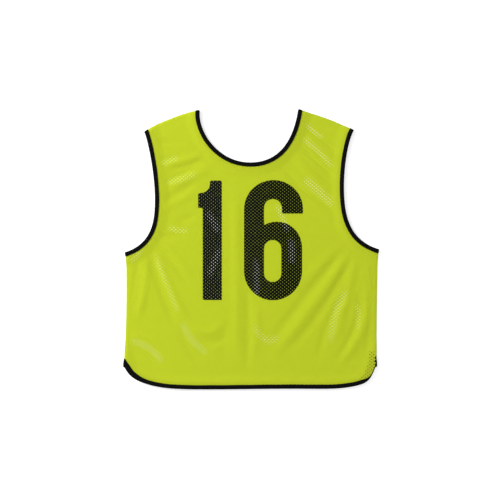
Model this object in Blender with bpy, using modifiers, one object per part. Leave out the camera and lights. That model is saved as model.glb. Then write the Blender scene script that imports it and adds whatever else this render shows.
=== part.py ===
# Mesh training bib laid flat: a front panel over a back panel, with folded tape round every open edge.
# X runs across the bib, Y from hem to neck, Z up from the surface it lies on. Sizes here are in millimetres.

import math
from collections import namedtuple

import bmesh
import bpy
from mathutils import Vector
from mathutils.geometry import delaunay_2d_cdt, interpolate_bezier

MM = 0.001

# Cloth and tape
CLOTH_WALL = 1.0
TAPE_WALL = 1.0
TAPE_WIDTH = 9.0
TAPE_ROUNDING = 0.8
GAP = 0.3

# Spacing of the points along the taped edges, along the folds, and over each panel
TAPE_STEP = {"neck": 12.0, "armhole_right": 14.0, "hem": 15.0, "armhole_left": 14.0}
FOLD_STEP = 18.0
FRONT_STEP = 18.0
BACK_STEP = 26.0
CURVE_SAMPLES = 120

# Heights of the middle of each layer: pinched in the tape, and settled away from it
SLOT_RISE = CLOTH_WALL / 2 + GAP + TAPE_WALL
BACK_IN_TAPE = SLOT_RISE
FRONT_IN_TAPE = 3 * SLOT_RISE + GAP
BACK_SETTLED = CLOTH_WALL / 2
SETTLE_LENGTH = 22.0
LAYER_SPREAD = 2.9
LEAST_SPREAD = 1.5
MOST_SPREAD = 4.8
SIDE_SPREAD = 2.6
SIDE_ROUNDING = 26.0

# Where the panels stop: inside the tape, and short of each other at the side and shoulder seams
PANEL_INSET = TAPE_WALL + GAP
CLEAR_OF_TAPE = TAPE_WIDTH + 1.5
SEAM_HALF_GAP = 0.4
ROLL_STEPS = 3
TAPE_ROLL_STEPS = 6

# The outline as it lies, clockwise from the left neck point. Each edge is a smooth curve through its
# nodes: place, the heading it passes through at, in degrees, and how hard the curve is pulled along
# that heading before and after the node.
Node = namedtuple("Node", "x y heading before after")
OUTLINE = {
    "neck": (
        Node(-107.5, 288.7, -94, 0, 45),
        Node(-1.5, 182.0, 0, 66, 69),
        Node(98.5, 290.7, 81, 50, 0),
    ),
    "shoulder_right": (
        Node(98.5, 290.7, -13, 0, 40),
        Node(214.5, 247.0, -30, 40, 0),
    ),
    "armhole_right": (
        Node(214.5, 247.0, -117, 0, 28),
        Node(195.0, 133.0, -90, 36, 56),
        Node(265.0, 1.0, -18, 66, 0),
    ),
    "side_right": (
        Node(265.0, 1.0, -92, 0, 60),
        Node(261.0, -247.0, -91, 80, 0),
    ),
    "hem": (
        Node(261.0, -247.0, -113, 0, 22),
        Node(228.0, -284.4, -164, 22, 40),
        Node(90.0, -292.6, 180, 60, 60),
        Node(-90.0, -294.0, 180, 60, 50),
        Node(-215.0, -283.8, 163, 35, 20),
        Node(-265.0, -248.0, 115, 26, 0),
    ),
    "side_left": (
        Node(-265.0, -248.0, 86, 0, 60),
        Node(-261.0, -5.5, 92, 80, 0),
    ),
    "armhole_left": (
        Node(-261.0, -5.5, 20, 0, 56),
        Node(-201.5, 104.0, 90, 48, 45),
        Node(-222.5, 243.0, 108, 35, 0),
    ),
    "shoulder_left": (
        Node(-222.5, 243.0, 42, 0, 16),
        Node(-185.0, 265.8, 22, 14, 40),
        Node(-107.5, 288.7, 4, 24, 0),
    ),
}
TAPED = ("neck", "armhole_right", "hem", "armhole_left")
FOLDED = ("shoulder_right", "side_right", "side_left", "shoulder_left")
ORDER = tuple(OUTLINE)

# The largest folds of the front, each a soft ridge (rise above 0) or trough along a bent line
Fold = namedtuple("Fold", "x1 y1 x2 y2 x3 y3 half_width rise")
FRONT_FOLDS = (
    Fold(-195, 138, -145, 160, -95, 196, 24, -0.9),
    Fold(-200, 112, -165, 132, -125, 158, 20, 0.8),
    Fold(-205, 92, -171, 113, -140, 130, 18, -0.8),
    Fold(-225, 60, -149, 32, -120, 52, 24, -0.9),
    Fold(-225, 5, -197, -65, -150, -172, 24, -1.2),
    Fold(-216, 20, -182, -55, -140, -140, 20, 1.3),
    Fold(-204, 22, -155, -37, -115, -92, 22, -1.2),
    Fold(-236, -15, -240, -65, -246, -115, 20, 1.2),
    Fold(-250, -203, -206, -206, -150, -236, 18, 1.0),
    Fold(-152, -170, -95, -222, -48, -130, 26, -1.0),
    Fold(-19, -60, -12, -130, -28, -250, 22, -1.0),
    Fold(2, -105, 6, -160, 3, -225, 20, 1.2),
    Fold(228, 20, 140, -60, 40, -142, 26, -1.3),
    Fold(236, 0, 168, -80, 90, -180, 24, 1.4),
    Fold(240, -15, 165, -115, 67, -232, 24, -1.2),
    Fold(200, -95, 150, -170, 110, -240, 20, 1.2),
    Fold(205, -100, 148, -175, 138, -248, 22, -1.1),
    Fold(244, -20, 252, -130, 228, -262, 22, -1.1),
    Fold(118, 262, 150, 236, 184, 208, 18, -0.8),
    Fold(108, 248, 145, 220, 184, 178, 18, 0.9),
    Fold(96, 230, 124, 198, 182, 146, 20, -1.0),
    Fold(80, 205, 118, 160, 184, 112, 20, 1.0),
    Fold(62, 186, 100, 132, 184, 82, 22, -1.0),
)

FLUORESCENT_YELLOW = (0.57, 0.66, 0.07, 1.0)
TAPE_BLACK = (0.012, 0.013, 0.014, 1.0)


def direction(heading):
    """A unit vector along a heading in degrees."""
    angle = math.radians(heading)
    return Vector((math.cos(angle), math.sin(angle)))


def smoothstep(t):
    t = min(1.0, max(0.0, t))
    return t * t * (3.0 - 2.0 * t)


def edge_curve(nodes):
    """A fine polyline through the nodes of one edge."""
    line = []
    for a, b in zip(nodes, nodes[1:]):
        start, end = Vector((a.x, a.y)), Vector((b.x, b.y))
        pull_a = start + direction(a.heading) * a.after
        pull_b = end - direction(b.heading) * b.before
        span = interpolate_bezier(start, pull_a, pull_b, end, CURVE_SAMPLES)
        line += span if not line else span[1:]
    return line


def spaced(line, step, skip_start=0.0, skip_end=0.0):
    """Even points along a polyline, between two skipped ends, with the heading at each."""
    reach = [0.0]
    for a, b in zip(line, line[1:]):
        reach.append(reach[-1] + (b - a).length)
    span = reach[-1] - skip_start - skip_end
    count = max(2, round(span / step))
    points, tangents, at = [], [], 0
    for i in range(count + 1):
        target = skip_start + span * i / count
        while at < len(line) - 2 and reach[at + 1] < target:
            at += 1
        part = (target - reach[at]) / (reach[at + 1] - reach[at])
        points.append(line[at].lerp(line[at + 1], part))
        tangents.append((line[at + 1] - line[at]).normalized())
    return points, tangents


def taped_stations(name):
    """Points along a taped edge, each with the vector that leads 1 mm in from the edge.

    At both ends that vector lies along the fold the tape turns over, so that its cut is mitred.
    """
    place = ORDER.index(name)
    points, tangents = spaced(edge_curve(OUTLINE[name]), TAPE_STEP[name])
    inward = [Vector((t.y, -t.x)) for t in tangents]
    before = -direction(OUTLINE[ORDER[place - 1]][-1].heading)
    after = direction(OUTLINE[ORDER[(place + 1) % len(ORDER)]][0].heading)
    inward[0] = before / before.dot(inward[0])
    inward[-1] = after / after.dot(inward[-1])
    return list(zip(points, inward))


def along(stations, inset):
    """The line that runs a given distance in from a taped edge."""
    return [point + inward * inset for point, inward in stations]


def fold_points(name, stations):
    """Points along a folded edge, between the tapes at its ends, with the way out at each."""
    place = ORDER.index(name)
    before = stations[ORDER[place - 1]][-1][1].length * CLEAR_OF_TAPE
    after = stations[ORDER[(place + 1) % len(ORDER)]][0][1].length * CLEAR_OF_TAPE
    points, tangents = spaced(edge_curve(OUTLINE[name]), FOLD_STEP, before, after)
    outward = [Vector((-t.y, t.x)) for t in tangents]
    return list(zip(points, outward))[1:-1]


def distance_to(point, line):
    """Shortest way from a point to a polyline."""
    best = math.inf
    for a, b in zip(line, line[1:]):
        run = b - a
        part = min(1.0, max(0.0, (point - a).dot(run) / run.length_squared))
        best = min(best, (point - a - run * part).length)
    return best


def fold_relief(point, fold):
    """How far one fold lifts the cloth at a point, fading out to both sides and at both ends."""
    a, b, c = Vector((fold.x1, fold.y1)), Vector((fold.x2, fold.y2)), Vector((fold.x3, fold.y3))
    steps = 8
    best, where = math.inf, 0.0
    previous = a
    for i in range(1, steps + 1):
        t = i / steps
        current = a * (1 - t) ** 2 + b * 2 * t * (1 - t) + c * t ** 2
        run = current - previous
        part = min(1.0, max(0.0, (point - previous).dot(run) / run.length_squared))
        away = (point - previous - run * part).length
        if away < best:
            best, where = away, (i - 1 + part) / steps
        previous = current
    if best >= fold.half_width:
        return 0.0
    ends = smoothstep(where / 0.25) * smoothstep((1.0 - where) / 0.25)
    return fold.rise * ends * math.cos(math.pi / 2 * best / fold.half_width) ** 2


class Lay:
    """How the two layers lie: the height of each at any place."""

    def __init__(self, stations):
        self.clear_lines = [along(stations[name], CLEAR_OF_TAPE) for name in TAPED]
        self.fold_lines = [edge_curve(OUTLINE[name])[::8] for name in FOLDED]

    def heights(self, point):
        """Middle heights of the back and front layers at a place clear of the tape."""
        from_tape = min(distance_to(point, line) for line in self.clear_lines)
        from_fold = min(distance_to(point, line) for line in self.fold_lines)
        pinch = 1.0 - smoothstep(from_tape / SETTLE_LENGTH)
        inner = smoothstep(from_fold / SIDE_ROUNDING)
        relief = sum(fold_relief(point, fold) for fold in FRONT_FOLDS)
        spread = min(MOST_SPREAD, max(LEAST_SPREAD, LAYER_SPREAD + relief))
        spread = SIDE_SPREAD + (spread - SIDE_SPREAD) * inner
        spread += (FRONT_IN_TAPE - BACK_IN_TAPE - spread) * pinch
        back = BACK_SETTLED + (BACK_IN_TAPE - BACK_SETTLED) * pinch
        return back, back + spread


def lattice(boundary, step):
    """Staggered rows of points inside a closed outline, clear of it by more than half a step."""
    low_x, high_x = min(p.x for p in boundary), max(p.x for p in boundary)
    low_y, high_y = min(p.y for p in boundary), max(p.y for p in boundary)
    closed = boundary + boundary[:1]
    row_height = step * math.sqrt(3) / 2
    points = []
    for row in range(1, int((high_y - low_y) / row_height) + 1):
        shift = step / 2 * (row % 2)
        for column in range(int((high_x - low_x) / step) + 1):
            point = Vector((low_x + shift + column * step, low_y + row * row_height))
            if is_inside(point, boundary) and distance_to(point, closed) > 0.6 * step:
                points.append(point)
    return points


def is_inside(point, boundary):
    inside = False
    for a, b in zip(boundary, boundary[1:] + boundary[:1]):
        if (a.y > point.y) != (b.y > point.y):
            if point.x < a.x + (b.x - a.x) * (point.y - a.y) / (b.y - a.y):
                inside = not inside
    return inside


def finish_object(name, bm, colour, roughness):
    """Turns a bmesh in millimetres into a named object in metres with its own material."""
    bmesh.ops.scale(bm, vec=(MM, MM, MM), verts=bm.verts)
    mesh = bpy.data.meshes.new(name)
    bm.to_mesh(mesh)
    bm.free()
    mesh.shade_smooth()
    material = bpy.data.materials.new(name)
    material.use_nodes = True
    shader = material.node_tree.nodes["Principled BSDF"]
    shader.inputs["Base Color"].default_value = colour
    shader.inputs["Roughness"].default_value = roughness
    mesh.materials.append(material)
    piece = bpy.data.objects.new(name, mesh)
    bib.objects.link(piece)
    return piece


def panel(name, stations, lay, step, is_front):
    """One layer of mesh cloth: flat in the tape, settled inside, and rolled to its seams at the folds."""
    in_tape = FRONT_IN_TAPE if is_front else BACK_IN_TAPE
    side = 1.0 if is_front else -1.0
    bm = bmesh.new()

    def layer_height(point):
        return lay.heights(point)[1 if is_front else 0]

    def add(point, height):
        return bm.verts.new((point.x, point.y, height))

    # The strip that lies in the tape, edge row and inner row
    edge_rows, inner_rows = {}, {}
    for taped in TAPED:
        edge_rows[taped] = [add(p, in_tape) for p in along(stations[taped], PANEL_INSET)]
        inner_rows[taped] = [add(p, in_tape) for p in along(stations[taped], CLEAR_OF_TAPE)]
        rows = zip(edge_rows[taped], edge_rows[taped][1:], inner_rows[taped][1:], inner_rows[taped])
        for a, b, c, d in rows:
            bm.faces.new((a, d, c, b))

    # The field between the strips
    boundary, fold_rows = [], {}
    for edge in ORDER:
        if edge in TAPED:
            boundary += inner_rows[edge]
            continue
        fold_rows[edge] = [(add(p, layer_height(p)), out) for p, out in fold_points(edge, stations)]
        boundary += [vert for vert, out in fold_rows[edge]]
    outline = [Vector(vert.co[:2]) for vert in boundary]
    field = lattice(outline, step)
    verts = boundary + [add(p, layer_height(p)) for p in field]
    loop = list(range(len(outline)))
    points, edges, faces, origins, *rest = delaunay_2d_cdt(outline + field, [], [loop], 1, 1e-4)
    for face in faces:
        corners = [verts[origins[i][0]] for i in face]
        a, b, c = (corner.co.xy for corner in corners)
        if (b - a).cross(c - a) < 0:
            corners.reverse()
        bm.faces.new(corners)

    # The roll at each fold, which carries the layer round to the seam with the other one
    for edge in FOLDED:
        place = ORDER.index(edge)
        before, after = ORDER[place - 1], ORDER[(place + 1) % len(ORDER)]
        start_out = fold_outward(edge, 0)
        end_out = fold_outward(edge, -1)
        row = [(edge_rows[before][-1], start_out), (inner_rows[before][-1], start_out)]
        row += fold_rows[edge]
        row += [(inner_rows[after][0], end_out), (edge_rows[after][0], end_out)]
        last = [vert for vert, out in row]
        for i in range(1, ROLL_STEPS + 1):
            current = [rolled(bm, lay, vert, out, side, i / ROLL_STEPS) for vert, out in row]
            for a, b, c, d in zip(last, last[1:], current[1:], current):
                bm.faces.new((a, b, c, d))
            last = current

    bmesh.ops.recalc_face_normals(bm, faces=bm.faces)
    piece = finish_object(name, bm, FLUORESCENT_YELLOW, 0.75)
    wall = piece.modifiers.new("wall", "SOLIDIFY")
    wall.thickness = CLOTH_WALL * MM
    wall.offset = 0.0
    return piece


def fold_outward(edge, end):
    """The way out of the bib, square to a folded edge, at its first or last node."""
    along_edge = direction(OUTLINE[edge][end].heading)
    return Vector((-along_edge.y, along_edge.x))


def rolled(bm, lay, vert, outward, side, part):
    """A point of a fold's roll, a part of the way from the layer's face to its seam."""
    place, height = Vector(vert.co[:2]), vert.co.z
    if abs(height - (FRONT_IN_TAPE if side > 0 else BACK_IN_TAPE)) < 1e-4:
        back, front = BACK_IN_TAPE, FRONT_IN_TAPE
    else:
        back, front = lay.heights(place)
    middle, radius = (back + front) / 2, (front - back) / 2
    angle = math.acos(SEAM_HALF_GAP / radius) * part
    place = place + outward * radius * math.sin(angle)
    return bm.verts.new((place.x, place.y, middle + side * radius * math.cos(angle)))


def tape_section():
    """The folded tape's section: distance in from the edge, and height over the cloth's middle."""
    outer = SLOT_RISE
    inner = outer - TAPE_WALL
    return (
        (TAPE_WIDTH, outer),
        (TAPE_ROUNDING, outer),
        (0.0, outer - TAPE_ROUNDING),
        (0.0, TAPE_ROUNDING - outer),
        (TAPE_ROUNDING, -outer),
        (TAPE_WIDTH, -outer),
        (TAPE_WIDTH, -inner),
        (TAPE_WALL, -inner),
        (TAPE_WALL, inner),
        (TAPE_WIDTH, inner),
    )


def binding(name, edge, stations):
    """A ring of tape folded over one open edge: along the front, over the fold, and back underneath."""
    section = tape_section()
    middle = (FRONT_IN_TAPE + BACK_IN_TAPE) / 2
    radius = (FRONT_IN_TAPE - BACK_IN_TAPE) / 2
    place = ORDER.index(edge)
    start_out = fold_outward(ORDER[place - 1], -1)
    end_out = fold_outward(ORDER[(place + 1) % len(ORDER)], 0)
    front = [(point, inward, Vector((0, 0)), 0.0) for point, inward in stations]
    turn = [180.0 * i / TAPE_ROLL_STEPS for i in range(1, TAPE_ROLL_STEPS)]
    over_end = [(*stations[-1], end_out, angle) for angle in turn]
    back = [(point, inward, Vector((0, 0)), 180.0) for point, inward in reversed(stations)]
    over_start = [(*stations[0], start_out, angle) for angle in reversed(turn)]

    bm = bmesh.new()
    rings = []
    for point, inward, outward, angle in front + over_end + back + over_start:
        lift, push = math.cos(math.radians(angle)), math.sin(math.radians(angle))
        ring = []
        for inset, rise in section:
            at = point + inward * inset + outward * (radius + rise) * push
            ring.append(bm.verts.new((at.x, at.y, middle + (radius + rise) * lift)))
        rings.append(ring)
    for ring, following in zip(rings, rings[1:] + rings[:1]):
        for i in range(len(section)):
            j = (i + 1) % len(section)
            bm.faces.new((ring[i], ring[j], following[j], following[i]))
    bmesh.ops.recalc_face_normals(bm, faces=bm.faces)
    return finish_object(name, bm, TAPE_BLACK, 0.85)


for old in list(bpy.data.objects):
    bpy.data.objects.remove(old)
bib = bpy.data.collections.new("mesh_training_bib")
bpy.context.scene.collection.children.link(bib)

edge_stations = {name: taped_stations(name) for name in TAPED}
layers = Lay(edge_stations)
panel("front_panel", edge_stations, layers, FRONT_STEP, True)
panel("back_panel", edge_stations, layers, BACK_STEP, False)
binding("neck_binding", "neck", edge_stations["neck"])
binding("armhole_binding_right", "armhole_right", edge_stations["armhole_right"])
binding("armhole_binding_left", "armhole_left", edge_stations["armhole_left"])
binding("hem_binding", "hem", edge_stations["hem"])
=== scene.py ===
import math
from collections import namedtuple

import bmesh
import bpy
import numpy as np
from mathutils import Matrix, Vector
from mathutils.geometry import interpolate_bezier


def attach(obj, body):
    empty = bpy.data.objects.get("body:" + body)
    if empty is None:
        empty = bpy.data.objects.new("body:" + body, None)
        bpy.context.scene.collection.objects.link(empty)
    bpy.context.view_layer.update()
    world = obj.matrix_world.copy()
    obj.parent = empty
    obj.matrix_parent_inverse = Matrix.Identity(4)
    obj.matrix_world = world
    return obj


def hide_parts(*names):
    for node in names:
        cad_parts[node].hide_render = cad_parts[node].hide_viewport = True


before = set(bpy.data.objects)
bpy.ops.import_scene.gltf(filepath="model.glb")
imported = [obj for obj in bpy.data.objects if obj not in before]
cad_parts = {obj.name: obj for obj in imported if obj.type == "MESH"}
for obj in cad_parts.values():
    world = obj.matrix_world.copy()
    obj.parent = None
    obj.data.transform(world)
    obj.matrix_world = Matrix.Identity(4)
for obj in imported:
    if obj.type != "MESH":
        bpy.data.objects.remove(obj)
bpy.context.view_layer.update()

scene = bpy.context.scene
MM = 0.001


# Back panel
# One piece of fluorescent yellow polyester mesh, warp-knitted with staggered round holes. It lies face
# down on the floor, pinched in the folded tape at its open edges and rolled up to the seams at its folds.

# The outline as it lies, clockwise from the left neck point, in millimetres: place, heading in degrees,
# and how hard the curve is pulled along that heading before and after the node.
Node = namedtuple("Node", "x y heading before after")
OUTLINE = {
    "neck": (
        Node(-107.5, 288.7, -94, 0, 45),
        Node(-1.5, 182.0, 0, 66, 69),
        Node(98.5, 290.7, 81, 50, 0),
    ),
    "shoulder_right": (
        Node(98.5, 290.7, -13, 0, 40),
        Node(214.5, 247.0, -30, 40, 0),
    ),
    "armhole_right": (
        Node(214.5, 247.0, -117, 0, 28),
        Node(195.0, 133.0, -90, 36, 56),
        Node(265.0, 1.0, -18, 66, 0),
    ),
    "side_right": (
        Node(265.0, 1.0, -92, 0, 60),
        Node(261.0, -247.0, -91, 80, 0),
    ),
    "hem": (
        Node(261.0, -247.0, -113, 0, 22),
        Node(228.0, -284.4, -164, 22, 40),
        Node(90.0, -292.6, 180, 60, 60),
        Node(-90.0, -294.0, 180, 60, 50),
        Node(-215.0, -283.8, 163, 35, 20),
        Node(-265.0, -248.0, 115, 26, 0),
    ),
    "side_left": (
        Node(-265.0, -248.0, 86, 0, 60),
        Node(-261.0, -5.5, 92, 80, 0),
    ),
    "armhole_left": (
        Node(-261.0, -5.5, 20, 0, 56),
        Node(-201.5, 104.0, 90, 48, 45),
        Node(-222.5, 243.0, 108, 35, 0),
    ),
    "shoulder_left": (
        Node(-222.5, 243.0, 42, 0, 16),
        Node(-185.0, 265.8, 22, 14, 40),
        Node(-107.5, 288.7, 4, 24, 0),
    ),
}
ORDER = tuple(OUTLINE)
TAPED = ("neck", "armhole_right", "hem", "armhole_left")
FOLDED = ("shoulder_right", "side_right", "side_left", "shoulder_left")

# Heights of the two layers: pinched in the tape, settled on each other away from it
BACK_IN_TAPE = 1.8
FRONT_IN_TAPE = 5.7
BACK_SETTLED = 0.5
CLEAR_OF_TAPE = 10.5
SETTLE_LENGTH = 22.0
LAYER_SPREAD = 2.9
LEAST_SPREAD = 1.0
MOST_SPREAD = 6.0
SIDE_SPREAD = 2.6
SIDE_ROUNDING = 26.0
PANEL_INSET = 1.3
SEAM_HALF_GAP = 0.4

# The hem's tape, by distance from the ends of its edge: turned under at the right, spread at the left
TURNED_SHARE = 0.22
TURNED_LENGTH = 14.0
TURN_LENGTH = 34.0
SPREAD_SHARE = 0.30
SPREAD_RISE = 12.0
SPREAD_LENGTH = 24.0
SPREAD_FADE = 40.0

# The knit: every second row of holes is shifted by half a pitch
HOLE_PITCH_ACROSS = 8.3
HOLE_PITCH_DOWN = 6.9
HOLE_HALF_WIDTH = 0.95
HOLE_HALF_HEIGHT = 1.05
HOLE_CUT = 0.9
LATTICE_CELLS = 160
TAPE_WIDTH = 9.0
HOLE_CLEAR_OF_SEAM = 1.6
HOLE_UNDER_TAPE = 1.6
HOLE_CLEAR_OF_EDGE = 2.6

# How finely the edges are drawn, and how far from an edge its distance is worked out
SPAN_POINTS = 40
EDGE_OVERRUN = 40.0
NEAR_EDGE = 20.0
ACROSS_PANEL = 300.0
POINTS_AT_ONCE = 4000
MARK_EVERY = 8


def direction(heading):
    """A unit vector along a heading in degrees."""
    return np.array((math.cos(math.radians(heading)), math.sin(math.radians(heading))))


def edge_line(name, overrun=0.0):
    """A fine polyline along one edge, run on straight past both ends by overrun."""
    nodes = OUTLINE[name]
    line = []
    for a, b in zip(nodes, nodes[1:]):
        start, end = np.array((a.x, a.y)), np.array((b.x, b.y))
        pulls = start + direction(a.heading) * a.after, end - direction(b.heading) * b.before
        span = interpolate_bezier(*(Vector(p) for p in (start, *pulls, end)), SPAN_POINTS)
        line += [tuple(p) for p in (span if not line else span[1:])]
    if overrun:
        before = np.array(line[0]) - direction(nodes[0].heading) * overrun
        after = np.array(line[-1]) + direction(nodes[-1].heading) * overrun
        line = [tuple(before), *line, tuple(after)]
    return np.array(line)


def nearest_on(line, points, reach=math.inf):
    """The nearest place on a polyline, the unit vector in from it there, and the distance in from it.

    The distance is under 0 outside. Points beyond the reach are skipped, and their distance is infinite.
    """
    starts, runs = line[:-1], np.diff(line, axis=0)
    squares = (runs ** 2).sum(1)
    inward = np.stack((runs[:, 1], -runs[:, 0]), 1) / np.sqrt(squares)[:, None]
    feet, normals, depth = points.copy(), np.zeros_like(points), np.full(len(points), math.inf)
    near = np.arange(len(points))
    if reach < math.inf:
        marks = np.concatenate((line[::MARK_EVERY], line[-1:]))
        margin = reach + np.sqrt((np.diff(marks, axis=0) ** 2).sum(1).max())
        close = np.zeros(len(points), bool)
        for mark in marks:
            close |= ((points - mark) ** 2).sum(1) < margin ** 2
        near = np.flatnonzero(close)
    for at in range(0, len(near), POINTS_AT_ONCE):
        chosen = near[at:at + POINTS_AT_ONCE]
        batch = points[chosen, None]
        part = np.clip(((batch - starts) * runs).sum(2) / squares, 0.0, 1.0)
        foot = starts + part[..., None] * runs
        best = ((batch - foot) ** 2).sum(2).argmin(1)
        feet[chosen] = foot[np.arange(len(best)), best]
        normals[chosen] = inward[best]
        away = points[chosen] - feet[chosen]
        side = np.sign((away * inward[best]).sum(1))
        depth[chosen] = np.hypot(*away.T) * np.where(side == 0, 1, side)
    return feet, normals, depth


def smoothstep(t):
    """An even ease from 0 to 1."""
    t = np.clip(t, 0.0, 1.0)
    return t * t * (3.0 - 2.0 * t)


taped_lines = {name: edge_line(name, EDGE_OVERRUN) for name in TAPED}
folded_lines = {name: edge_line(name, EDGE_OVERRUN) for name in FOLDED}


def depth_from(lines, points, reach=math.inf):
    """The distance of each point in from the nearest of several edges."""
    return np.min([nearest_on(line, points, reach)[2] for line in lines.values()], axis=0)


def layer_heights(points, relief=0.0):
    """Heights of the back and front layers over the floor, with the relief of the front's folds."""
    from_tape = depth_from(taped_lines, points, CLEAR_OF_TAPE + SETTLE_LENGTH)
    from_fold = depth_from(folded_lines, points, SIDE_ROUNDING)
    pinch = 1.0 - smoothstep((from_tape - CLEAR_OF_TAPE) / SETTLE_LENGTH)
    inner = smoothstep(from_fold / SIDE_ROUNDING)
    spread = np.clip(LAYER_SPREAD + relief, LEAST_SPREAD, MOST_SPREAD)
    spread = SIDE_SPREAD + (spread - SIDE_SPREAD) * inner
    spread += (FRONT_IN_TAPE - BACK_IN_TAPE - spread) * pinch
    back = BACK_SETTLED + (BACK_IN_TAPE - BACK_SETTLED) * pinch
    return back, back + spread


def tape_share(edge, from_start, from_end):
    """How much of the tape's width shows on the front, by the distance from both ends of its edge.

    At the hem's right end the tape turns under the cloth, and at its left end it spreads a little.
    """
    if edge != "hem":
        return np.ones_like(from_start)
    full = smoothstep((from_start - TURNED_LENGTH) / TURN_LENGTH)
    turned_under = TURNED_SHARE + (1.0 - TURNED_SHARE) * full
    faded = smoothstep((from_end - SPREAD_LENGTH) / SPREAD_FADE)
    spread_out = 1.0 + SPREAD_SHARE * smoothstep(from_end / SPREAD_RISE) * (1.0 - faded)
    return turned_under * spread_out


def knit_panel(name, side, lie_of_knit, relief_at):
    """A panel of holed cloth, as the back (side -1) or the front (side 1).

    The knit starts as a flat staggered lattice with a hole at each point. lie_of_knit moves it to where
    it lies in the plane, and the cloth is then trimmed to the outline and raised to its height.
    """
    across, down = HOLE_PITCH_ACROSS / 2, HOLE_PITCH_DOWN / 2
    cells = LATTICE_CELLS
    bm = bmesh.new()
    bmesh.ops.create_grid(bm, x_segments=cells, y_segments=cells, size=cells / 2)
    bmesh.ops.rotate(bm, cent=(0, 0, 0), matrix=Matrix.Rotation(math.pi / 4, 3, "Z"), verts=bm.verts)
    bmesh.ops.scale(bm, vec=(across * math.sqrt(2), down * math.sqrt(2), 1), verts=bm.verts)

    verts = list(bm.verts)
    places = lie_of_knit(np.array([vert.co[:2] for vert in verts]))
    clear = np.full(len(places), math.inf)
    holed = depth_from(folded_lines, places, NEAR_EDGE) > HOLE_CLEAR_OF_SEAM
    for edge, line in taped_lines.items():
        foot, _, depth = nearest_on(line, places, ACROSS_PANEL)
        share = 1.0
        if side > 0:
            ends = [np.hypot(*(foot - line[end]).T) for end in (1, -2)]
            share = tape_share(edge, *ends)
        holed &= depth > np.maximum(TAPE_WIDTH * share - HOLE_UNDER_TAPE, HOLE_CLEAR_OF_EDGE)
        clear = np.minimum(clear, depth)
    clear = np.minimum(clear, depth_from(folded_lines, places, ACROSS_PANEL))
    outside = [vert for vert, depth in zip(verts, clear) if not -2 * across < depth < math.inf]
    gone = set(outside)
    cut = [vert for vert, is_holed in zip(verts, holed) if is_holed and vert not in gone]
    bmesh.ops.delete(bm, geom=outside, context="VERTS")
    opened = bmesh.ops.bevel(
        bm, geom=cut, offset=HOLE_CUT, offset_type="OFFSET", affect="VERTICES", segments=3,
        profile=0.5, clamp_overlap=False, material=-1,
    )
    bmesh.ops.delete(bm, geom=opened["faces"], context="FACES")

    # Round the holes off, each about the lattice point that it stands on
    flat = np.array([vert.co[:2] for vert in bm.verts])
    sums, gaps = flat[:, 0] / across, flat[:, 1] / down
    i, j = np.round((sums + gaps) / 2), np.round((sums - gaps) / 2)
    centres = np.stack(((i + j) * across, (i - j) * down), 1)
    off = flat - centres
    away = np.hypot(*off.T)
    on_rim = (away > 0.3 * HOLE_CUT) & (away < 2.0 * HOLE_CUT)
    angle = np.arctan2(off[:, 1], off[:, 0])
    rim = np.stack((np.cos(angle) * HOLE_HALF_WIDTH, np.sin(angle) * HOLE_HALF_HEIGHT), 1)
    flat = np.where(on_rim[:, None], centres + rim, flat)

    # Trim to the outline: straight inside the tape, and round the roll to the seam at each fold
    points = lie_of_knit(flat)
    lift = np.zeros(len(points))
    rolled = np.zeros(len(points), bool)
    lost = np.zeros(len(points), bool)
    for line in taped_lines.values():
        foot, inward, depth = nearest_on(line, points, NEAR_EDGE)
        beyond = depth < PANEL_INSET
        lost |= beyond
        points[beyond] = (foot + inward * PANEL_INSET)[beyond]
    for line in folded_lines.values():
        foot, inward, depth = nearest_on(line, points, NEAR_EDGE)
        beyond = np.flatnonzero(depth < 0)
        back, front = layer_heights(foot[beyond])
        middle, radius = (back + front) / 2, (front - back) / 2
        most = np.arccos(np.clip(SEAM_HALF_GAP / radius, 0, 1))
        turn = -depth[beyond] / radius
        lost[beyond] |= turn > most
        turn = np.minimum(turn, most)
        points[beyond] = foot[beyond] - inward[beyond] * (radius * np.sin(turn))[:, None]
        lift[beyond] = middle + side * radius * np.cos(turn)
        rolled[beyond] = True
    back, front = layer_heights(points[~rolled], relief_at(points[~rolled]))
    lift[~rolled] = front if side > 0 else back

    knit_map = bm.loops.layers.uv.new("knit")
    for vert, place, height, is_lost in zip(bm.verts, points, lift, lost):
        vert.tag = bool(is_lost)
        vert.co = (place[0], place[1], height)
    bm.verts.index_update()
    knit_places = [Vector(place) * MM for place in flat]
    for face in bm.faces:
        for loop in face.loops:
            loop[knit_map].uv = knit_places[loop.vert.index]
    trimmed = [face for face in bm.faces if all(vert.tag for vert in face.verts)]
    bmesh.ops.delete(bm, geom=trimmed, context="FACES")
    if side < 0:
        bmesh.ops.reverse_faces(bm, faces=bm.faces)
    return finished(name, bm)


def finished(name, bm):
    """A bmesh in millimetres as an object in metres."""
    bmesh.ops.scale(bm, vec=(MM, MM, MM), verts=bm.verts)
    mesh = bpy.data.meshes.new(name)
    bm.to_mesh(mesh)
    bm.free()
    mesh.shade_smooth()
    piece = bpy.data.objects.new(name, mesh)
    scene.collection.objects.link(piece)
    return piece


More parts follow.
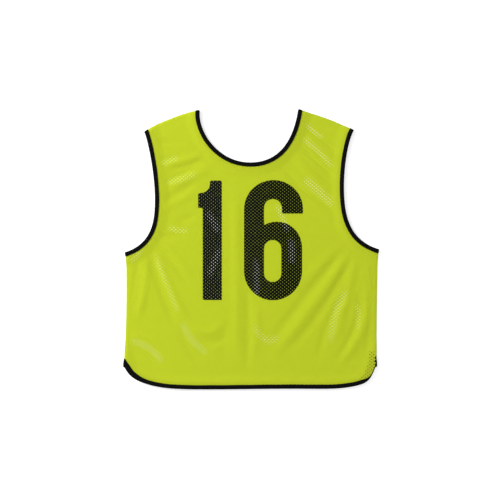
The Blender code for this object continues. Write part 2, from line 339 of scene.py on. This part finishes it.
# The back's knit is set off from the front's by a third of a row, so that the front's holes show cloth.
# Where it slips a little further, along some of the folds, holes meet and the floor shows through.
KNIT_OFFSET = 2.25
Slip = namedtuple("Slip", "x1 y1 x2 y2 x3 y3 half_width share")
SLIPS = (
    Slip(-96, 82, -79, 56, -65, 28, 15, 1.0),
    Slip(-65, 8, -76, -27, -94, -69, 15, 1.0),
    Slip(10, -9, 12, -62, 11, -111, 13, 1.0),
    Slip(4, -139, 29, -191, 74, -174, 18, 0.8),
    Slip(50, 99, 67, 64, 81, 22, 14, 0.8),
    Slip(81, 29, 86, -6, 85, -41, 15, 1.0),
    Slip(-209, 12, -174, -83, -146, -146, 13, 0.9),
    Slip(-150, -139, -124, -191, -76, -230, 18, 0.9),
    Slip(-181, 49, -153, 38, -127, 43, 12, 1.0),
    Slip(-192, 175, -171, 185, -146, 195, 12, 0.9),
    Slip(-185, 136, -146, 147, -106, 161, 14, 0.95),
    Slip(-265, -193, -215, -208, -177, -254, 17, 1.0),
    Slip(113, 267, 132, 245, 156, 231, 10, 0.9),
    Slip(102, 154, 144, 119, 180, 82, 16, 1.0),
    Slip(102, 236, 141, 204, 179, 161, 11, 0.9),
    Slip(212, -76, 179, -132, 165, -226, 17, 0.9),
    Slip(219, -104, 226, -142, 221, -184, 12, 0.85),
    Slip(-226, 1, -240, -14, -253, -35, 12, 0.9),
)
STROKE_POINTS = 17
STROKE_FADE = 0.25


def along_strokes(points, strokes):
    """The sum of many strokes at each point: each is full on its curve and fades to its sides and ends.

    A stroke's curve passes through its three places.
    """
    total = np.zeros(len(points))
    for stroke in strokes:
        a, b, c = np.array(stroke[:6]).reshape(3, 2)
        pull = 2 * b - (a + c) / 2
        t = np.linspace(0, 1, STROKE_POINTS)[:, None]
        line = a * (1 - t) ** 2 + pull * 2 * t * (1 - t) + c * t ** 2
        low, high = line.min(0) - stroke.half_width, line.max(0) + stroke.half_width
        near = np.flatnonzero(((points > low) & (points < high)).all(1))
        starts, runs = line[:-1], np.diff(line, axis=0)
        batch = points[near, None]
        part = np.clip(((batch - starts) * runs).sum(2) / (runs ** 2).sum(1), 0.0, 1.0)
        away = np.sqrt(((batch - starts - part[..., None] * runs) ** 2).sum(2))
        rows, best = np.arange(len(near)), away.argmin(1)
        where = (best + part[rows, best]) / len(runs)
        ends = smoothstep(where / STROKE_FADE) * smoothstep((1.0 - where) / STROKE_FADE)
        reach = np.clip(away[rows, best] / stroke.half_width, 0.0, 1.0)
        total[near] += stroke[-1] * ends * np.cos(np.pi / 2 * reach) ** 2
    return total


def lie_of_back(flat):
    slip = np.clip(along_strokes(flat, SLIPS), 0.0, 1.0)
    return flat + np.stack((np.zeros(len(flat)), KNIT_OFFSET * (1.0 - slip)), 1)


def no_relief(points):
    return 0.0


def knit_group():
    """The fine knit between the holes: wales and courses of loops as a height, and a slight unevenness."""
    group = bpy.data.node_groups.new("knit", "ShaderNodeTree")
    group.interface.new_socket("Vector", in_out="INPUT", socket_type="NodeSocketVector")
    group.interface.new_socket("Wale", in_out="INPUT", socket_type="NodeSocketFloat")
    group.interface.new_socket("Course", in_out="INPUT", socket_type="NodeSocketFloat")
    group.interface.new_socket("Height", in_out="OUTPUT", socket_type="NodeSocketFloat")
    group.interface.new_socket("Tone", in_out="OUTPUT", socket_type="NodeSocketFloat")
    nodes, links = group.nodes, group.links
    inlet, outlet = nodes.new("NodeGroupInput"), nodes.new("NodeGroupOutput")
    split = nodes.new("ShaderNodeSeparateXYZ")
    links.new(inlet.outputs["Vector"], split.inputs[0])

    def maths(operation, *values):
        node = nodes.new("ShaderNodeMath")
        node.operation = operation
        for socket, value in zip(node.inputs, values):
            if isinstance(value, bpy.types.NodeSocket):
                links.new(value, socket)
            else:
                socket.default_value = value
        return node.outputs[0]

    along = maths("DIVIDE", split.outputs["X"], inlet.outputs["Wale"])
    up = maths("DIVIDE", split.outputs["Y"], inlet.outputs["Course"])
    wale = maths("ABSOLUTE", maths("SINE", maths("MULTIPLY", along, math.pi)))
    lean = maths("MULTIPLY", wale, 0.8)
    course = maths("ABSOLUTE", maths("SINE", maths("MULTIPLY", maths("ADD", up, lean), math.pi)))
    links.new(maths("MULTIPLY", wale, course), outlet.inputs["Height"])
    noise = nodes.new("ShaderNodeTexNoise")
    noise.inputs["Scale"].default_value = 90.0
    noise.inputs["Detail"].default_value = 3.0
    links.new(inlet.outputs["Vector"], noise.inputs["Vector"])
    links.new(noise.outputs["Fac"], outlet.inputs["Tone"])
    return group


knit = knit_group()
YELLOW = (0.60, 0.68, 0.030, 1.0)
YELLOW_SHADE = (0.555, 0.645, 0.024, 1.0)
YELLOW_THROUGH = (0.62, 0.72, 0.03, 1.0)
THROUGH_SHARE = 0.30


def cloth_material(name):
    """Fluorescent mesh cloth: matt, finely looped, with light that comes through the knit."""
    material = bpy.data.materials.new(name)
    material.use_nodes = True
    nodes, links = material.node_tree.nodes, material.node_tree.links
    shader = nodes["Principled BSDF"]
    shader.inputs["Roughness"].default_value = 0.7
    shader.inputs["Specular IOR Level"].default_value = 0.06
    shader.inputs["Sheen Weight"].default_value = 0.03
    shader.inputs["Sheen Roughness"].default_value = 0.5
    uv = nodes.new("ShaderNodeUVMap")
    uv.uv_map = "knit"
    loops = nodes.new("ShaderNodeGroup")
    loops.node_tree = knit
    loops.inputs["Wale"].default_value = 0.9 * MM
    loops.inputs["Course"].default_value = 1.15 * MM
    links.new(uv.outputs["UV"], loops.inputs["Vector"])
    colour = nodes.new("ShaderNodeMix")
    colour.data_type = "RGBA"
    colour.inputs["A"].default_value = YELLOW_SHADE
    colour.inputs["B"].default_value = YELLOW
    links.new(loops.outputs["Tone"], colour.inputs["Factor"])
    links.new(colour.outputs["Result"], shader.inputs["Base Color"])
    bump = nodes.new("ShaderNodeBump")
    bump.inputs["Strength"].default_value = 0.5
    bump.inputs["Distance"].default_value = 0.15 * MM
    links.new(loops.outputs["Height"], bump.inputs["Height"])
    links.new(bump.outputs["Normal"], shader.inputs["Normal"])
    through = nodes.new("ShaderNodeBsdfTranslucent")
    through.inputs["Color"].default_value = YELLOW_THROUGH
    blend = nodes.new("ShaderNodeMixShader")
    blend.inputs["Fac"].default_value = THROUGH_SHARE
    links.new(shader.outputs[0], blend.inputs[1])
    links.new(through.outputs[0], blend.inputs[2])
    links.new(blend.outputs[0], nodes["Material Output"].inputs["Surface"])
    return material


back_cloth = knit_panel("back_mesh_cloth", -1, lie_of_back, no_relief)
back_cloth.data.materials.append(cloth_material("mesh_cloth"))
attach(back_cloth, "root")
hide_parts("back_panel")


# Front panel
# The same mesh, laid over the back with its soft folds, which fan out from the armholes and shoulders.
# A plain block number is screen-printed on it in black ink, which leaves the holes open.

Crease = namedtuple("Crease", "x1 y1 x2 y2 x3 y3 half_width rise")
CREASES = (
    Crease(-204, 224, -174, 225, -136, 224, 9, -0.7),
    Crease(-195, 193, -174, 189, -143, 199, 9, -0.8),
    Crease(-190, 174, -139, 186, -96, 203, 13, 1.2),
    Crease(-174, 166, -136, 174, -92, 192, 12, -1.2),
    Crease(-174, 126, -129, 150, -80, 172, 15, 1.3),
    Crease(-187, 134, -153, 154, -115, 172, 9, -0.8),
    Crease(-185, 106, -150, 119, -111, 145, 12, -1.0),
    Crease(-187, 87, -153, 99, -111, 126, 13, 0.9),
    Crease(-157, 63, -136, 63, -114, 78, 13, -1.1),
    Crease(-209, 21, -167, 29, -122, 35, 14, -0.7),
    Crease(-251, -20, -258, -83, -261, -139, 10, 0.9),
    Crease(-234, -14, -244, -62, -256, -118, 9, -0.9),
    Crease(-222, -14, -223, -83, -243, -153, 14, 1.4),
    Crease(-212, 1, -190, -83, -152, -174, 14, -1.6),
    Crease(-204, 4, -167, -83, -129, -153, 13, 1.3),
    Crease(-198, 12, -157, -41, -127, -83, 11, -1.1),
    Crease(-194, 19, -153, -20, -120, -62, 13, 1.0),
    Crease(-153, -167, -132, -209, -96, -251, 14, -0.9),
    Crease(-129, -153, -87, -174, -48, -139, 14, 1.2),
    Crease(-118, -181, -80, -196, -45, -174, 13, -1.2),
    Crease(-258, -181, -223, -185, -174, -209, 13, 0.9),
    Crease(-262, -210, -223, -223, -195, -251, 11, -0.8),
    Crease(-33, 159, -30, -41, -30, -266, 17, 1.3),
    Crease(-8, -69, -6, -167, -11, -269, 13, -1.2),
    Crease(-54, -125, -57, -195, -54, -261, 15, -0.5),
    Crease(9, -111, 13, -167, 3, -230, 14, 0.9),
    Crease(194, 12, 134, -44, 74, -107, 18, 0.9),
    Crease(202, 8, 120, -93, 34, -202, 15, -1.5),
    Crease(209, -2, 139, -105, 26, -251, 17, 1.7),
    Crease(213, -7, 160, -111, 74, -223, 14, -1.3),
    Crease(219, -10, 206, -83, 188, -153, 13, 1.0),
    Crease(213, -83, 163, -153, 139, -251, 13, -1.1),
    Crease(184, -111, 188, -153, 169, -195, 14, 1.0),
    Crease(219, -83, 222, -153, 169, -244, 12, -1.2),
    Crease(226, -20, 244, -139, 169, -261, 15, 1.5),
    Crease(241, -20, 250, -62, 253, -104, 8, 0.8),
    Crease(235, -27, 253, -139, 235, -226, 12, -1.1),
    Crease(116, 255, 148, 231, 185, 199, 8, -0.8),
    Crease(110, 241, 145, 210, 184, 180, 12, 1.0),
    Crease(101, 220, 141, 180, 184, 141, 8, -1.1),
    Crease(85, 204, 127, 158, 179, 110, 15, 1.4),
    Crease(66, 172, 113, 122, 179, 78, 11, -1.2),
    Crease(110, 99, 144, 85, 176, 64, 12, 0.8),
)


def as_knitted(flat):
    return flat.copy()


def front_relief(points):
    return along_strokes(points, CREASES)


front_cloth = knit_panel("front_mesh_cloth", 1, as_knitted, front_relief)


def arc(x, y, across, up, start, end, steps=14):
    """Points along an elliptical arc between two angles in degrees."""
    turns = np.radians(np.linspace(start, end, steps))
    return [(x + across * math.cos(t), y + up * math.sin(t)) for t in turns]


NUMBER_TOP = 144.0
NUMBER_FOOT = -106.7
ONE = [
    (-61.0, NUMBER_TOP), (-61.0, NUMBER_FOOT), (-101.4, NUMBER_FOOT), (-101.4, 86.5), (-110.9, 86.5),
    (-110.9, 118.0), (-104.2, 118.0), *arc(-105.5, 137.0, 19.4, 19.0, -80, -10, 6), (-86.1, NUMBER_TOP),
]
SIX = [
    (109.2, 74.6), *arc(47.3, 84.0, 61.9, 61.0, 0, 180, 28), *arc(46.2, -46.0, 60.9, 61.2, 180, 360, 28),
    *arc(56.0, 3.0, 51.1, 54.6, 0, 86, 12), *arc(52.0, 18.0, 42.0, 39.6, 80, 126, 8),
    *arc(46.0, 86.7, 18.7, 18.7, 180, 0), (64.7, 74.6),
]
SIX_COUNTER = [*arc(45.5, 1.1, 18.2, 18.2, 0, 180), *arc(45.5, -50.7, 18.2, 18.2, 180, 360)]
NUMBER_BOX = (-125.0, -120.0, 125.0, 160.0)


def depth_in(outlines, points):
    """Distance of each point inside closed outlines, under 0 outside. An outline in another is a hole."""
    inside = np.zeros(len(points), bool)
    nearest = np.full(len(points), np.inf)
    for outline in outlines:
        line = np.array(outline + outline[:1])
        line = line[np.append(True, (np.diff(line, axis=0) ** 2).sum(1) > 1e-6)]
        nearest = np.minimum(nearest, np.abs(nearest_on(line, points)[2]))
        for a, b in zip(line, line[1:]):
            if a[1] == b[1]:
                continue
            spans = (a[1] > points[:, 1]) != (b[1] > points[:, 1])
            crossing = a[0] + (b[0] - a[0]) * (points[:, 1] - a[1]) / (b[1] - a[1])
            inside ^= spans & (points[:, 0] < crossing)
    return np.where(inside, nearest, -nearest)


corners = np.empty(len(front_cloth.data.vertices) * 3)
front_cloth.data.vertices.foreach_get("co", corners)
corners = corners.reshape(-1, 3)[:, :2] / MM
left, low, right, high = NUMBER_BOX
x, y = corners.T
by_number = np.flatnonzero((x > left) & (x < right) & (y > low) & (y < high))
printed = np.full(len(corners), -20.0)
printed[by_number] = np.maximum(
    depth_in([ONE], corners[by_number]), depth_in([SIX, SIX_COUNTER], corners[by_number])
)
print_depth = front_cloth.data.attributes.new("print_depth", "FLOAT", "POINT")
print_depth.data.foreach_set("value", printed)

INK = (0.0030, 0.0042, 0.0038, 1.0)
INK_EDGE = 0.25
printed_cloth = cloth_material("mesh_cloth_printed")
nodes, links = printed_cloth.node_tree.nodes, printed_cloth.node_tree.links
depth = nodes.new("ShaderNodeAttribute")
depth.attribute_name = "print_depth"
inked = nodes.new("ShaderNodeMapRange")
inked.inputs["From Min"].default_value = -INK_EDGE
inked.inputs["From Max"].default_value = INK_EDGE
links.new(depth.outputs["Fac"], inked.inputs["Value"])
shader = nodes["Principled BSDF"]
plain = shader.inputs["Base Color"].links[0].from_socket
ink = nodes.new("ShaderNodeMix")
ink.data_type = "RGBA"
ink.inputs["B"].default_value = INK
links.new(inked.outputs["Result"], ink.inputs["Factor"])
links.new(plain, ink.inputs["A"])
links.new(ink.outputs["Result"], shader.inputs["Base Color"])
let_through = nodes.new("ShaderNodeMapRange")
let_through.inputs["To Min"].default_value = THROUGH_SHARE
let_through.inputs["To Max"].default_value = 0.0
links.new(inked.outputs["Result"], let_through.inputs["Value"])
links.new(let_through.outputs["Result"], nodes["Mix Shader"].inputs["Fac"])
front_cloth.data.materials.append(printed_cloth)
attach(front_cloth, "root")
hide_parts("front_panel")


# Folded tape
# Four rings of black knitted tape, folded over the open edges and carried over the shoulders and sides
# from the front to the back. Each is one long strip, sewn through both legs near its inner lip.

TAPE_STEP = 2.0
TAPE_MIDDLE = (FRONT_IN_TAPE + BACK_IN_TAPE) / 2
TAPE_RADIUS = (FRONT_IN_TAPE - BACK_IN_TAPE) / 2
TAPE_TURNS = 12
MITRE_LENGTH = 14.0
# One leg of the folded tape, from its lip to its folded edge: distance in from the edge, and height
TAPE_LEG = (
    (9.0, 0.12), (9.05, 0.55), (8.85, 0.95), (8.3, 1.18), (7.6, 1.2), (7.0, 1.16), (6.2, 1.3),
    (4.8, 1.52), (3.2, 1.6), (1.8, 1.55), (0.8, 1.22), (0.2, 0.65),
)
TAPE_SECTION = TAPE_LEG + ((0.0, 0.0),) + tuple((u, -v) for u, v in reversed(TAPE_LEG)) + (
    (5.0, -0.12), (1.2, -0.12), (1.2, 0.12), (5.0, 0.12),
)
# The tape's unevenness along its length: the share or distance that it varies by, over how many mm
Wave = namedtuple("Wave", "size length")
FINE_PUCKER = Wave(0.05, 1.9)
COARSE_PUCKER = Wave(0.04, 5.3)
SWAY = Wave(0.12, 9.0)
# A station of a tape ring: its point on the edge, the vector in from it, the vector out over the fold,
# how far round the fold it has turned, its length along the ring, and the share of the width that shows
Station = namedtuple("Station", "point inward outward turn along share")


def edge_stations(name, step):
    """Points along a taped edge, each with the vector 1 mm in from it, mitred at the folds it turns over."""
    line = edge_line(name)
    reach = np.concatenate(([0.0], np.cumsum(np.hypot(*np.diff(line, axis=0).T))))
    targets = np.linspace(0, reach[-1], round(reach[-1] / step) + 1)
    points = np.stack([np.interp(targets, reach, line[:, axis]) for axis in (0, 1)], 1)
    runs = np.gradient(points, axis=0)
    inward = np.stack((runs[:, 1], -runs[:, 0]), 1) / np.hypot(*runs.T)[:, None]
    place = ORDER.index(name)
    before = -direction(OUTLINE[ORDER[place - 1]][-1].heading)
    after = direction(OUTLINE[ORDER[(place + 1) % len(ORDER)]][0].heading)
    before = before / before.dot(inward[0])
    after = after / after.dot(inward[-1])
    ease = round(MITRE_LENGTH / step)
    for i in range(ease):
        share = 1.0 - smoothstep(i / ease)
        inward[i] = inward[i] + (before - inward[i]) * share
        inward[-1 - i] = inward[-1 - i] + (after - inward[-1 - i]) * share
    shares = tape_share(name, targets, reach[-1] - targets)
    return points, inward, targets, shares


def fold_outward(edge, end):
    """The way out of the bib, square to a folded edge, at its first or last node."""
    run = direction(OUTLINE[edge][end].heading)
    return np.array((-run[1], run[0]))


def tape_stations(name, step):
    """Every station of a tape ring: along the front, over a fold, along the back, and over the other."""
    points, inward, along, shares = edge_stations(name, step)
    place = ORDER.index(name)
    start_out = fold_outward(ORDER[place - 1], -1)
    end_out = fold_outward(ORDER[(place + 1) % len(ORDER)], 0)
    still = np.zeros(2)
    length, over = along[-1], math.pi * TAPE_RADIUS
    parts = [i / TAPE_TURNS for i in range(1, TAPE_TURNS)]
    ring = [Station(p, n, still, 0.0, at, s) for p, n, at, s in zip(points, inward, along, shares)]
    ring += [
        Station(points[-1], inward[-1], end_out, 180.0 * part, length + over * part,
                shares[-1] + (1.0 - shares[-1]) * part)
        for part in parts
    ]
    ring += [
        Station(p, n, still, 180.0, 2 * length + over - at, 1.0)
        for p, n, at in zip(points[::-1], inward[::-1], along[::-1])
    ]
    ring += [
        Station(points[0], inward[0], start_out, 180.0 * (1 - part), 2 * length + over * (1 + part),
                1.0 + (shares[0] - 1.0) * part)
        for part in parts
    ]
    return ring


def on_tape(station, inset, rise):
    """A place on a tape ring, a distance in from its edge and a height over the cloth's middle."""
    angle = math.radians(station.turn)
    if rise > 0:
        inset *= station.share
    at = station.point + station.inward * inset + station.outward * (TAPE_RADIUS + rise) * math.sin(angle)
    return Vector((at[0], at[1], TAPE_MIDDLE + (TAPE_RADIUS + rise) * math.cos(angle)))


def tape_ring(name, edge, seed):
    """One binding, bent from a long flat strip of quads to the folded section at every station."""
    ring = tape_stations(edge, TAPE_STEP)
    section = TAPE_SECTION
    bm = bmesh.new()
    bmesh.ops.create_grid(bm, x_segments=len(ring), y_segments=len(section), size=1)
    weave_map = bm.loops.layers.uv.new("knit")
    columns = len(ring) + 1
    phases = np.random.default_rng(seed).uniform(0, 2 * math.pi, 3)
    steps = [math.dist(a, b) for a, b in zip(section, section[1:] + section[:1])]
    widths = np.concatenate(([0.0], np.cumsum(steps)))
    spots = {}
    for index, vert in enumerate(bm.verts):
        row, column = divmod(index, columns)
        station = ring[column % len(ring)]
        inset, rise = section[row % len(section)]
        fine, coarse, sway = (
            wave.size * math.sin(station.along / wave.length + phase)
            for wave, phase in zip((FINE_PUCKER, COARSE_PUCKER, SWAY), phases)
        )
        sway *= inset > 1.0
        vert.co = on_tape(station, inset + sway, rise * (1.0 + fine + coarse))
        length = station.along if column < len(ring) else ring[-1].along + TAPE_STEP
        spots[vert] = Vector((length, widths[row])) * MM
    for face in bm.faces:
        for loop in face.loops:
            loop[weave_map].uv = spots[loop.vert]
    bmesh.ops.remove_doubles(bm, verts=bm.verts, dist=0.001)
    bmesh.ops.recalc_face_normals(bm, faces=bm.faces)
    return finished(name, bm)


# The tape's black, and a lighter black that is painted on the crests of its loops as a highlight
TAPE_BLACK = (0.0022, 0.0024, 0.0024, 1.0)
TAPE_PAINTED_CREST_LIGHT = (0.0045, 0.0048, 0.0048, 1.0)


def tape_material():
    """Matt black knitted polyester, ribbed along its length, with painted shade in the grooves between its
    loops and a painted highlight on their crests.
    """
    material = bpy.data.materials.new("binding_tape")
    material.use_nodes = True
    nodes, links = material.node_tree.nodes, material.node_tree.links
    shader = nodes["Principled BSDF"]
    shader.inputs["Roughness"].default_value = 0.8
    shader.inputs["Specular IOR Level"].default_value = 0.04
    uv = nodes.new("ShaderNodeUVMap")
    uv.uv_map = "knit"
    loops = nodes.new("ShaderNodeGroup")
    loops.node_tree = knit
    loops.inputs["Wale"].default_value = 0.8 * MM
    loops.inputs["Course"].default_value = 0.6 * MM
    links.new(uv.outputs["UV"], loops.inputs["Vector"])
    # The colour follows the loops' height: darker in the grooves between the loops and lighter on their
    # crests, painted shade and highlight
    colour = nodes.new("ShaderNodeMix")
    colour.data_type = "RGBA"
    colour.inputs["A"].default_value = TAPE_BLACK
    colour.inputs["B"].default_value = TAPE_PAINTED_CREST_LIGHT
    links.new(loops.outputs["Height"], colour.inputs["Factor"])
    links.new(colour.outputs["Result"], shader.inputs["Base Color"])
    bump = nodes.new("ShaderNodeBump")
    bump.inputs["Strength"].default_value = 0.6
    bump.inputs["Distance"].default_value = 0.15 * MM
    links.new(loops.outputs["Height"], bump.inputs["Height"])
    links.new(bump.outputs["Normal"], shader.inputs["Normal"])
    return material


tape = tape_material()
RINGS = {
    "neck_binding": "neck",
    "armhole_binding_right": "armhole_right",
    "armhole_binding_left": "armhole_left",
    "hem_binding": "hem",
}
for seed, (node, edge) in enumerate(RINGS.items()):
    binding = tape_ring(node.replace("binding", "tape"), edge, seed)
    binding.data.materials.append(tape)
    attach(binding, "root")
    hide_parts(node)


# Turned-under end of the hem tape
# At the right the side seam lies a little behind the fold, so the last stretch of the hem's tape is
# folded under the front cloth, where it shows as dark specks through the holes.

TURNED_PATH = ((229.0, -279.0), (246.0, -262.0), (252.5, -240.0), (253.5, -214.0))
TURNED_POINTS = 28
TURNED_HALF_WIDTH = 5.2
TURNED_HALF_HEIGHT = 0.35
TURNED_RISE = 0.2
TURNED_WEAVE_STEP = 2.0


def turned_end():
    """A short flat length of tape between the panels, with ten sides."""
    path = interpolate_bezier(*(Vector(place) for place in TURNED_PATH), TURNED_POINTS)
    points = np.array([tuple(place) for place in path])
    runs = np.gradient(points, axis=0)
    sideways = np.stack((runs[:, 1], -runs[:, 0]), 1) / np.hypot(*runs.T)[:, None]
    back, front = layer_heights(points)
    section = ((1, 0), (0.95, 0.7), (0.6, 1), (-0.6, 1), (-0.95, 0.7), (-1, 0), (-0.95, -0.7), (-0.6, -1),
               (0.6, -1), (0.95, -0.7))
    bm = bmesh.new()
    bmesh.ops.create_grid(bm, x_segments=len(points) - 1, y_segments=len(section), size=1)
    weave_map = bm.loops.layers.uv.new("knit")
    spots = {}
    for index, vert in enumerate(bm.verts):
        row, column = divmod(index, len(points))
        u, v = section[row % len(section)]
        at = points[column] + sideways[column] * u * TURNED_HALF_WIDTH
        middle = (back[column] + front[column]) / 2 + TURNED_RISE
        vert.co = (at[0], at[1], middle + v * TURNED_HALF_HEIGHT)
        spots[vert] = Vector((column, row)) * TURNED_WEAVE_STEP * MM
    for face in bm.faces:
        for loop in face.loops:
            loop[weave_map].uv = spots[loop.vert]
    bmesh.ops.remove_doubles(bm, verts=bm.verts, dist=0.001)
    bmesh.ops.holes_fill(bm, edges=[edge for edge in bm.edges if edge.is_boundary], sides=0)
    bmesh.ops.recalc_face_normals(bm, faces=bm.faces)
    return finished("hem_tape_turned_end", bm)


turned = turned_end()
turned.data.materials.append(tape)
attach(turned, "root")


# Stitching
# A row of black lockstitch through each leg of the tape, 1.8 mm in from its lip, on the front and on
# the back.

STITCH_INSET = 7.2
STITCH_PITCH = 2.8
STITCH_LENGTH = 2.3
STITCH_WIDTH = 0.5
STITCH_FLATNESS = 1.2
STITCH_RISE = 1.2


def stitch_rows():
    """A small flattened ball for each stitch, along both legs of every ring of tape."""
    bm = bmesh.new()
    for edge in RINGS.values():
        for station in tape_stations(edge, STITCH_PITCH):
            if station.turn % 180.0:
                continue
            angle = math.atan2(station.inward[0], -station.inward[1])
            half = STITCH_WIDTH / 2
            size = Matrix.Diagonal((STITCH_LENGTH / 2, half, half / STITCH_FLATNESS, 1))
            matrix = Matrix.Translation(on_tape(station, STITCH_INSET, STITCH_RISE))
            matrix = matrix @ Matrix.Rotation(angle, 4, "Z") @ size @ Matrix.Rotation(math.pi / 2, 4, "Y")
            bmesh.ops.create_uvsphere(bm, u_segments=6, v_segments=5, radius=1.0, matrix=matrix)
    return finished("binding_stitches", bm)


stitches = stitch_rows()
thread = bpy.data.materials.new("black_thread")
thread.use_nodes = True
thread_shader = thread.node_tree.nodes["Principled BSDF"]
thread_shader.inputs["Base Color"].default_value = (0.006, 0.0065, 0.0065, 1.0)
thread_shader.inputs["Roughness"].default_value = 0.6
thread_shader.inputs["Specular IOR Level"].default_value = 0.1
stitches.data.materials.append(thread)
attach(stitches, "root")


# Side and shoulder seams
# The panels are overlocked together inside out and turned, so that a thin yellow ridge of cloth and
# thread runs along each fold, between the tapes at its ends.

SEAM_STEP = 1.6
SEAM_RADIUS = 0.75
SEAM_SIDES = 8
SEAM_CLEAR_OF_TAPE = 4.0
SEAM_UNEVENNESS = 0.10
SEAM_TIP = 0.15
SEAM_SUNK = 0.45
SEAM_WEAVE_STEP = 0.6


def seam_ridge(name, edge, seed):
    """A round ridge, uneven in thickness, half sunk between the panels along a folded edge."""
    line = edge_line(edge)
    reach = np.concatenate(([0.0], np.cumsum(np.hypot(*np.diff(line, axis=0).T))))
    targets = np.arange(SEAM_CLEAR_OF_TAPE, reach[-1] - SEAM_CLEAR_OF_TAPE, SEAM_STEP)
    points = np.stack([np.interp(targets, reach, line[:, axis]) for axis in (0, 1)], 1)
    runs = np.gradient(points, axis=0)
    outward = np.stack((-runs[:, 1], runs[:, 0]), 1) / np.hypot(*runs.T)[:, None]
    back, front = layer_heights(points)
    columns = len(points)
    thickness = 1.0 + SEAM_UNEVENNESS * np.random.default_rng(seed).standard_normal(columns)
    thickness[[0, -1]] = SEAM_TIP
    bm = bmesh.new()
    bmesh.ops.create_grid(bm, x_segments=columns - 1, y_segments=SEAM_SIDES, size=1)
    knit_map = bm.loops.layers.uv.new("knit")
    spots = {}
    for index, vert in enumerate(bm.verts):
        row, column = divmod(index, columns)
        turn = 2 * math.pi * (row % SEAM_SIDES) / SEAM_SIDES
        middle, radius = (back[column] + front[column]) / 2, (front[column] - back[column]) / 2
        size = SEAM_RADIUS * thickness[column]
        at = points[column] + outward[column] * (radius - SEAM_SUNK + size * math.cos(turn))
        vert.co = (at[0], at[1], middle + size * math.sin(turn))
        spots[vert] = Vector((targets[column], row * SEAM_WEAVE_STEP)) * MM
    for face in bm.faces:
        for loop in face.loops:
            loop[knit_map].uv = spots[loop.vert]
    bmesh.ops.remove_doubles(bm, verts=bm.verts, dist=0.001)
    bmesh.ops.holes_fill(bm, edges=[edge for edge in bm.edges if edge.is_boundary], sides=0)
    bmesh.ops.recalc_face_normals(bm, faces=bm.faces)
    return finished(name, bm)


for seed, edge in enumerate(FOLDED):
    seam = seam_ridge(edge + "_seam", edge, seed)
    seam.data.materials.append(back_cloth.data.materials[0])
    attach(seam, "root")

# The cut of each panel, from its outline
outline = np.concatenate([edge_line(name)[:-1] for name in ORDER])


# Studio
# A plain white floor that glows a little, like a light table, a broad soft light low at the upper left,
# and a camera straight above the bib.

bpy.ops.mesh.primitive_plane_add(size=12.0, location=(0, 0, 0))
floor = bpy.context.object
floor.name = "floor"
floor_paint = bpy.data.materials.new("floor_paint")
floor_paint.use_nodes = True
floor_shader = floor_paint.node_tree.nodes["Principled BSDF"]
floor_shader.inputs["Base Color"].default_value = (0.82, 0.82, 0.82, 1.0)
floor_shader.inputs["Roughness"].default_value = 0.9
floor_shader.inputs["Specular IOR Level"].default_value = 0.1
floor_shader.inputs["Emission Color"].default_value = (1.0, 1.0, 1.0, 1.0)
floor_shader.inputs["Emission Strength"].default_value = 0.48
floor.data.materials.append(floor_paint)

world = bpy.data.worlds.new("studio")
world.use_nodes = True
world.node_tree.nodes["Background"].inputs["Color"].default_value = (1.0, 1.0, 1.0, 1.0)
world.node_tree.nodes["Background"].inputs["Strength"].default_value = 0.58
scene.world = world


def soft_light(name, place, size, power):
    """A square light that faces the bib's middle."""
    lamp = bpy.data.lights.new(name, "AREA")
    lamp.size = size
    lamp.energy = power
    holder = bpy.data.objects.new(name, lamp)
    holder.location = place
    holder.rotation_euler = (Vector((0, 0, 0)) - Vector(place)).to_track_quat("-Z", "Y").to_euler()
    scene.collection.objects.link(holder)


soft_light("key", (-2.4, 1.35, 1.6), 0.8, 105)
soft_light("fill", (1.6, -1.2, 2.4), 1.6, 8)

FRAME_WIDTH = 1.05
FRAME_MIDDLE = (-0.0021, -0.0017)
camera = bpy.data.objects.new("camera", bpy.data.cameras.new("camera"))
camera.data.lens = 100.0
camera.data.sensor_width = 36.0
camera.location = (*FRAME_MIDDLE, FRAME_WIDTH * camera.data.lens / camera.data.sensor_width)
scene.collection.objects.link(camera)
scene.camera = camera
scene.view_settings.view_transform = "Standard"
